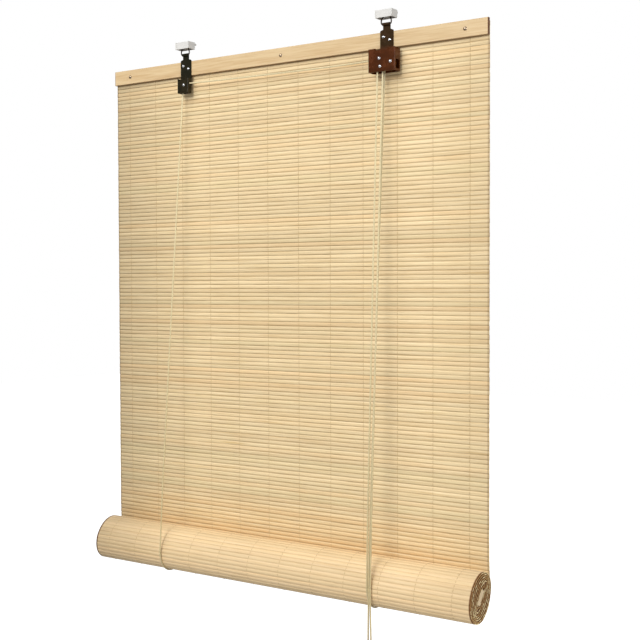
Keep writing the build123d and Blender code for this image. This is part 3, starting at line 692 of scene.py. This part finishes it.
def makeThreads(name, first, last):
    # two threads in each column, one before and one behind each slat, which change sides in every gap:
    # out from the mat they follow a cosine of two slats' length, blunted, and sideways its sine
    run = np.linspace(first, last, (last - first) * thread["samplesPerSlat"] + 1)
    place, onward, outward = matPlace(run * slatPitch)
    wave = squared(np.cos(np.pi * (run - 0.5)), 0.5)
    reach = mat["thickness"] / 2 + thread["radius"] * thread["standOff"]
    columns = (np.arange(thread["columns"]) - (thread["columns"] - 1) / 2) * thread["columnPitch"]
    lines = np.empty((thread["columns"], 2, len(run), 3))
    for twin, way in enumerate((1, -1)):
        aside = way * thread["radius"] * thread["apart"] * np.sin(np.pi * run)
        lines[:, twin, :, 0] = columns[:, None] + sway(run * slatPitch) + aside
        lines[:, twin, :, 1:] = place + (way * reach * wave)[:, None] * outward
    lines = lines.reshape(-1, len(run), 3)
    return tubeOf(name, lines, thread["radius"], thread["sides"], (1, 0, 0), matThread)


hangingSlats = int((matTopZ - hangEndZ) / slatPitch)
rolledEnd = int(matRun[-1] / slatPitch)
lowerEndZ = matTopZ - hangingSlats * slatPitch
keptSlats = int((matTopZ - lowerEndZ - liftTravel) / slatPitch)  # these hang even at full lift

upperMat = makeSlats("upperMat", -mat["clampedSlats"], keptSlats, hangingBamboo, mat["seed"])
lowerMat = makeSlats("lowerMat", keptSlats, hangingSlats, hangingBamboo, mat["seed"] + 1)
rollMat = makeSlats("rollMat", hangingSlats, rolledEnd, rolledBamboo, mat["seed"] + 2)
upperThreads = makeThreads("upperThreads", 0, keptSlats)
lowerThreads = makeThreads("lowerThreads", keptSlats, hangingSlats)
rollThreads = makeThreads("rollThreads", hangingSlats, rolledEnd)
for piece in (upperMat, lowerMat, upperThreads, lowerThreads):
    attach(piece, "rail")
for piece in (lowerMat, lowerThreads):
    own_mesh(piece)
for piece in (rollMat, rollThreads):
    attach(piece, "roll")
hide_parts("clamped_slats", "hanging_slats")
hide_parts("rolled_mat")

# A plain strip of wood with softened edges, from its section (half depth, half height) and its ends.
strip = {"rows": 9, "corners": 16, "squareness": 0.25}


def makeStrip(name, startX, endX, centre, halfDepth, halfHeight, wayOut, wayUp):
    # a circle swollen towards a square, stretched to the half sizes and carried along X
    turn = 2 * np.pi * (np.arange(strip["corners"]) + 0.5) / strip["corners"]
    section = np.stack([squared(np.cos(turn), strip["squareness"]) * halfDepth,
                        squared(np.sin(turn), strip["squareness"]) * halfHeight], -1)
    points = np.empty((strip["rows"], strip["corners"], 3))
    points[..., 0] = np.linspace(startX, endX, strip["rows"])[:, None]
    points[..., 1:] = np.asarray(centre) + section[:, :1] * wayOut + section[:, 1:] * wayUp
    return makePiece(name, points, ringFaces(1, strip["rows"], strip["corners"]), rearLathBamboo)


# The bottom batten lies in the roll's core and leans with it.
batten = {"halfDepth": 1.9 * mm, "halfHeight": 9.6 * mm}
battenLow, battenHigh = lowHigh("bottom_batten")
battenStart, battenEnd = battenLow[0] + roll["sideways"], battenHigh[0] + roll["sideways"]
coreBatten = makeStrip("coreBatten", battenStart, battenEnd, rollMiddle,
                       batten["halfDepth"], batten["halfHeight"], wideWay, longWay)
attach(coreBatten, "roll")
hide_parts("bottom_batten")

# The rear lath is cut a little shorter than the front one, so its ends stay out of sight.
rearLath = {"shorter": 6.5 * mm}
rearLow, rearHigh = lowHigh("head_batten_rear")
rearMiddle, rearHalf = (rearLow + rearHigh) / 2, (rearHigh - rearLow) / 2
rearStart, rearEnd = rearLow[0] + rearLath["shorter"], rearHigh[0] - rearLath["shorter"]
rearStrip = makeStrip("rearLath", rearStart, rearEnd, rearMiddle[1:],
                      rearHalf[1], rearHalf[2], np.array([1, 0]), np.array([0, 1]))
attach(rearStrip, "rail")
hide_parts("head_batten_rear")

print("mat woven, running the cords")

# The cords that the blind holds all the way. A strand to the roll is nearly straight and shortens
# as the roll rises, so it flattens towards its upper end.
cord = {"radius": 1.0 * mm, "sides": 12, "fineness": 12, "hankFineness": 6}
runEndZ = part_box("lift_cord_left")[0].z  # where the strands meet the bights
lapFrontY = -59.57 * mm
lapBackY = 0.03 * mm
rollX = {"left": -171.0 * mm, "right": 164.8 * mm}


def makeCord(name, route, reference, fineness=cord["fineness"]):
    # a round cord along the smooth line of its route, and that line
    line = cordLine(route, fineness)
    return tubeOf(name, line, cord["radius"], cord["sides"], reference, creamCord), line


strandRoutes = {
    "liftCordLeft": ("lift_cord_left", [
        (-0.1653, -0.01132, -0.0594), (-0.17016, -0.0537, -0.610), (-0.17085, -0.05831, -0.688),
        (-0.1710, -0.05957, -0.7047), (-0.1710, -0.05957, -0.7063)]),
    "liftCordRight": ("lift_cord_right", [
        (0.1557, -0.01747, -0.0601), (0.16346, -0.0546, -0.610), (0.16456, -0.05847, -0.688),
        (0.1648, -0.05957, -0.7048), (0.1648, -0.05957, -0.7063)]),
    "backCordLeft": ("back_cord_left", [
        (-0.1720, 0.00583, -0.0355), (-0.1715, 0.0029, -0.37), (-0.1710, 0.00003, -0.7062)]),
    "backCordRight": ("back_cord_right", [
        (0.1720, 0.00583, -0.0355), (0.1684, 0.0029, -0.37), (0.1648, 0.00003, -0.7062)]),
    "pullStrandFront": ("pull_strand_front", [
        (0.1629, -0.01747, -0.0766), (0.16859, -0.0544, -0.610), (0.16942, -0.05846, -0.688),
        (0.1696, -0.05957, -0.7048), (0.1696, -0.05957, -0.7063)]),
    "pullStrandRear": ("pull_strand_rear", [
        (0.1629, -0.01277, -0.0766), (0.16655, -0.0537, -0.610), (0.16708, -0.05832, -0.688),
        (0.1672, -0.05957, -0.7047), (0.1672, -0.05957, -0.7063)]),
}
for name, (node, route) in strandRoutes.items():
    strand, line = makeCord(name, route, (1, 0, 0))
    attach(strand, "rail")
    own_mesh(strand)
    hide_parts(node)

heldRoutes = {
    "crossCord": ("cross_cord", [
        (-0.1653, -0.01132, -0.0593), (-0.1653, -0.01132, -0.0572), (-0.16185, -0.01132, -0.05482),
        (-0.15989, -0.01132, -0.05556), (-0.1529, -0.01132, -0.0582), (0.1434, -0.01277, -0.0618),
        (0.1581, -0.01277, -0.05661), (0.15986, -0.01277, -0.05598), (0.1629, -0.01277, -0.05814),
        (0.1629, -0.01277, -0.06), (0.1629, -0.01277, -0.0765)]),
    "lockCord": ("lock_cord", [
        (0.1557, -0.01747, -0.06), (0.1557, -0.01747, -0.0564), (0.1629, -0.01747, -0.0564),
        (0.1629, -0.01747, -0.06), (0.1629, -0.01747, -0.0765)]),
}
for name, (node, route) in heldRoutes.items():
    held, line = makeCord(name, route, (0, 1, 0))
    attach(held, "rail")
    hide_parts(node)

# A bight under the roll: it follows the oval from its front to its back, by way of outer corners.
lapRadius = 1.1 * cord["radius"]  # the cord lies just clear of the slats
lapLength, lapWidth = (roll[key][0] * mm + lapRadius for key in ("halfLength", "halfWidth"))
backAngle = math.atan2(lapLength * longWay[0], lapWidth * wideWay[0])
cornerAngles = backAngle - math.pi + np.radians([22.5, 67.5, 112.5, 157.5])
around = oval(np.full(4, lapLength * cornerReach), np.full(4, lapWidth * cornerReach), cornerAngles)
for side, x in rollX.items():
    halfRound = [(x, lapFrontY, runEndZ)]
    halfRound += [(x, rollMiddle[0] + y, rollMiddle[1] + z) for y, z in around]
    halfRound.append((x, lapBackY, runEndZ))
    bight, line = makeCord(f"bight{side.capitalize()}", halfRound, (1, 0, 0))
    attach(bight, "roll_carriage")
    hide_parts(f"bight_{side}")

# A knot above each staple: a trefoil line, which winds twice round while it weaves out and back
# three times, for its turns, and a short tail.
knot = {
    "size": 0.72 * mm, "cordRadius": 0.92 * mm, "lift": 2.3 * mm, "samples": 73,
    "tail": [[0, 0, 0.5], [0.5, 0.2, 3.5], [0.2, 0.6, 7.0]],
}
for side in ("left", "right"):
    low, high = lowHigh(f"knot_{side}")
    centre = np.array([(low[0] + high[0]) / 2, (low[1] + high[1]) / 2, low[2] + knot["lift"]])
    turn = np.linspace(0, 2 * np.pi, knot["samples"])
    trefoil = np.stack([np.sin(turn) + 2 * np.sin(2 * turn), -0.9 * np.sin(3 * turn),
                        np.cos(turn) - 2 * np.cos(2 * turn)], -1) * knot["size"]
    turns = tubeOf(f"knotTurns{side.capitalize()}", centre + trefoil, knot["cordRadius"], cord["sides"],
                   (0.1, 1, 0.2), creamCord)
    end = centre + np.array(knot["tail"]) * mm
    tail, line = makeCord(f"knotTail{side.capitalize()}", end.tolist(), (1, 0, 0))
    for piece in (turns, tail):
        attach(piece, "rail")
    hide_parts(f"knot_{side}")

# The pull cord below the roll. It comes down in front, is wound up and down a small bundle in long
# turns, outer turns to one side, inner turns to the other, outer turns back, and goes up again.
# A turn is two half circles joined by legs that the tie draws together in the middle.
hank = {
    "outerTurns": 7, "innerTurns": 13, "pitch": 2.03 * mm, "outerRadius": 6.15 * mm,
    "innerRadius": 4.8 * mm, "halfLeg": 15.6 * mm, "waistDepth": 3.0 * mm, "waistWidth": 0.86,
    "uneven": 0.8 * mm, "innerEvenness": 0.7, "change": 0.2, "seed": 11,
}
hankLow, hankHigh = lowHigh("pull_hank")
hankX, hankY, hankZ = (hankLow + hankHigh) / 2
# one turn, from the top of the front leg: how far to the rear and how far past the leg's end, both
# in radii, then the height in half legs, and how much the tie draws the place in
turnShape = np.array([
    [-1.0, 0.0, 0.60, 0.62], [-1.0, 0.0, 0.0, 1.0], [-1.0, 0.0, -0.60, 0.62],
    [-0.924, -0.383, -1.0, 0.0], [-0.383, -0.924, -1.0, 0.0],
    [0.383, -0.924, -1.0, 0.0], [0.924, -0.383, -1.0, 0.0],
    [1.0, 0.0, -0.60, 0.62], [1.0, 0.0, 0.0, 1.0], [1.0, 0.0, 0.60, 0.62],
    [0.924, 0.383, 1.0, 0.0], [0.383, 0.924, 1.0, 0.0],
    [-0.383, 0.924, 1.0, 0.0], [-0.924, 0.383, 1.0, 0.0]])
perTurn = len(turnShape)
turnCount = 2 * hank["outerTurns"] + hank["innerTurns"]
progress = np.arange(turnCount * perTurn + 10) / perTurn  # the last half turn ends on the rear leg
shapeOf = turnShape[np.arange(len(progress)) % perTurn]
ends = hank["outerTurns"], hank["outerTurns"] + hank["innerTurns"]
halfBreadth = (hank["outerTurns"] + 0.5) * hank["pitch"]
middleShare = 0.5 * hank["pitch"]
acrossHank = np.interp(progress, [0, ends[0], ends[1], turnCount + 0.7],
                       [middleShare, halfBreadth, -halfBreadth, -middleShare])
changes = [ends[0], ends[0] + hank["change"], ends[1] - hank["change"], ends[1]]
inner = np.interp(progress, changes, [0, 1, 1, 0])
loopRadius = hank["outerRadius"] + inner * (hank["innerRadius"] - hank["outerRadius"])
draw = np.random.default_rng(hank["seed"])
stretch = draw.uniform(-1, 1, (turnCount + 1, 2))[progress.astype(int)]
stretch = stretch * hank["uneven"] * (1 - hank["innerEvenness"] * inner[:, None])
stretch = np.where(shapeOf[:, 2] > 0, stretch[:, 0], stretch[:, 1]) * (shapeOf[:, 3] == 0)
waist = shapeOf[:, 3]
circled = 1 + (cornerReach - 1) * (waist == 0)  # the half circles' points are outer corners
wound = np.stack([
    hankX + acrossHank * (1 - waist * (1 - hank["waistWidth"])),
    hankY + shapeOf[:, 0] * (loopRadius * circled - waist * hank["waistDepth"]),
    hankZ + shapeOf[:, 2] * (hank["halfLeg"] + stretch) + shapeOf[:, 1] * loopRadius * circled], -1)
comeDown = [(0.1696, -0.05957, -0.7063), (0.1695, -0.05957, -0.7300), (0.1710, -0.0598, -0.7700),
            (0.1712, -0.0610, -0.8000), (0.1704, -0.0646, -0.8180)]
goUp = [(0.1670, -0.0548, -0.8180), (0.1662, -0.0581, -0.8000), (0.1664, -0.05937, -0.7700),
        (0.1672, -0.05957, -0.7300), (0.1672, -0.05957, -0.7063)]
pullRoute = comeDown + wound.tolist() + goUp
pullLoop, line = makeCord("pullLoop", pullRoute, (1, 0, 0), cord["hankFineness"])
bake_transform(pullLoop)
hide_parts("pull_end_front", "pull_end_rear", "pull_hank")

# The tie: three turns of thin cord round the waist of the hank, on a flattened oval.
tie = {
    "radius": 0.75 * mm, "sides": 10, "turns": 3, "pitch": 1.55 * mm, "corners": 12,
    "gap": 0.35 * mm, "squareness": 0.7, "slack": 1.035, "tuck": 2.5 * mm,
}
waistHalfWidth = halfBreadth * hank["waistWidth"] + cord["radius"] + tie["radius"]
waistHalfDepth = hank["outerRadius"] - hank["waistDepth"] + tie["gap"] + cord["radius"] + tie["radius"]
corner = np.arange(tie["turns"] * tie["corners"] + 1)
angle = 2 * np.pi * corner / tie["corners"]
tieRoute = np.stack([
    hankX + tie["slack"] * squared(np.cos(angle), tie["squareness"]) * waistHalfWidth,
    hankY + tie["slack"] * squared(np.sin(angle), tie["squareness"]) * waistHalfDepth,
    hankZ + (corner / tie["corners"] - tie["turns"] / 2) * tie["pitch"]], -1)
tieRoute[[0, -1], 0] -= tie["tuck"]  # both ends are tucked under
tieLine = cordLine(tieRoute.tolist(), cord["hankFineness"])
hankTie = tubeOf("hankTie", tieLine, tie["radius"], tie["sides"], (0, 0, 1), matThread)
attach(hankTie, "pull_loop")
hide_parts("hank_tie")
print("pull cord", round(float(np.linalg.norm(np.diff(line, axis=0), axis=1).sum()), 3), "m")

print("cords run, placing floor, lights and camera")

# Floor, room light and camera.
room = {
    "floorZ": -2.06, "floorSize": 30.0, "floorTones": (0.42, 0.48), "cloudSize": 3.0,
    "cloudRange": (0.2, 0.8), "floorRoughness": (0.75, 0.9), "skySeen": 1.0, "skyLight": 0.42,
}
lamps = {
    "keyLamp": {"place": (0.45, -4.6, 1.7), "target": (0, 0, -0.35), "size": 2.0, "power": 126.0},
    "topLamp": {"place": (-0.55, -1.4, 1.3), "target": (0, 0, -0.4), "size": 1.6, "power": 20.0},
    "sideLamp": {"place": (3.3, -0.6, 0.2), "target": (0.3, 0, -0.4), "size": 1.2, "power": 36.0},
    "backLamp": {"place": (-1.4, 3.4, 0.9), "target": (0, 0, -0.4), "size": 2.0, "power": 60.0},
}
view = {
    "place": (0.8868, -1.2191, -0.3393), "azimuth": 34.25, "down": 1.72, "roll": -0.16, "lens": 63.75,
    "sensor": 36.0,
}

floorMaterial, tree, shader = shaded("paleFloor", Specular_IOR_Level=0.2)
clouds = noise(tree, objectPlace(tree), room["cloudSize"], 4.0)
low, high = ((tone, tone, tone, 1) for tone in room["floorTones"])
tree.links.new(mixColor(tree, clouds, low, high), shader.inputs["Base Color"])
roughness = ramp(tree, clouds, *room["cloudRange"], *room["floorRoughness"])
tree.links.new(roughness, shader.inputs["Roughness"])
# the floor itself glows white, but only where it is seen directly, so it casts no light on the blind
onlySeen = tree.nodes.new("ShaderNodeLightPath").outputs["Is Camera Ray"]
glow = mixColor(tree, onlySeen, (0.0, 0.0, 0.0, 1), (1.0, 1.0, 1.0, 1))
tree.links.new(glow, shader.inputs["Emission Color"])
shader.inputs["Emission Strength"].default_value = 1.0
half = room["floorSize"] / 2
corners = np.array([[-half, -half, 0], [half, -half, 0], [half, half, 0], [-half, half, 0]])
floor = makePiece("floor", corners + [0, 0, room["floorZ"]], [(0, 1, 2, 3)], floorMaterial)

world = bpy.data.worlds.new("studio")
scene.world = world
world.use_nodes = True
tree = world.node_tree
background = tree.nodes["Background"]
lightPath = tree.nodes.new("ShaderNodeLightPath")
strength = put(tree, "ShaderNodeMapRange", {
    "Value": lightPath.outputs["Is Camera Ray"], "To Min": room["skyLight"], "To Max": room["skySeen"]})
background.inputs["Color"].default_value = (1, 1, 1, 1)
tree.links.new(strength.outputs["Result"], background.inputs["Strength"])
scene.view_settings.view_transform = "Standard"

for name, given in lamps.items():
    data = bpy.data.lights.new(name, "AREA")
    data.shape = "DISK"
    data.size = given["size"]
    data.energy = given["power"]
    lamp = bpy.data.objects.new(name, data)
    lamp.location = given["place"]
    aim = Vector(given["target"]) - Vector(given["place"])
    lamp.rotation_euler = aim.to_track_quat("-Z", "Y").to_euler()
    scene.collection.objects.link(lamp)

turned, dipped, rolled = (math.radians(view[key]) for key in ("azimuth", "down", "roll"))
ahead = Vector((
    -math.sin(turned) * math.cos(dipped), math.cos(turned) * math.cos(dipped), -math.sin(dipped)))
level = Vector((math.cos(turned), math.sin(turned), 0))
above = level.cross(ahead)
across = math.cos(rolled) * level + math.sin(rolled) * above
upward = math.cos(rolled) * above - math.sin(rolled) * level
camera = bpy.data.objects.new("camera", bpy.data.cameras.new("camera"))
camera.data.lens = view["lens"]
camera.data.sensor_width = view["sensor"]
facing = Matrix((across, upward, -ahead)).transposed().to_4x4()
camera.matrix_world = Matrix.Translation(view["place"]) @ facing
scene.collection.objects.link(camera)
scene.camera = camera

print("done")
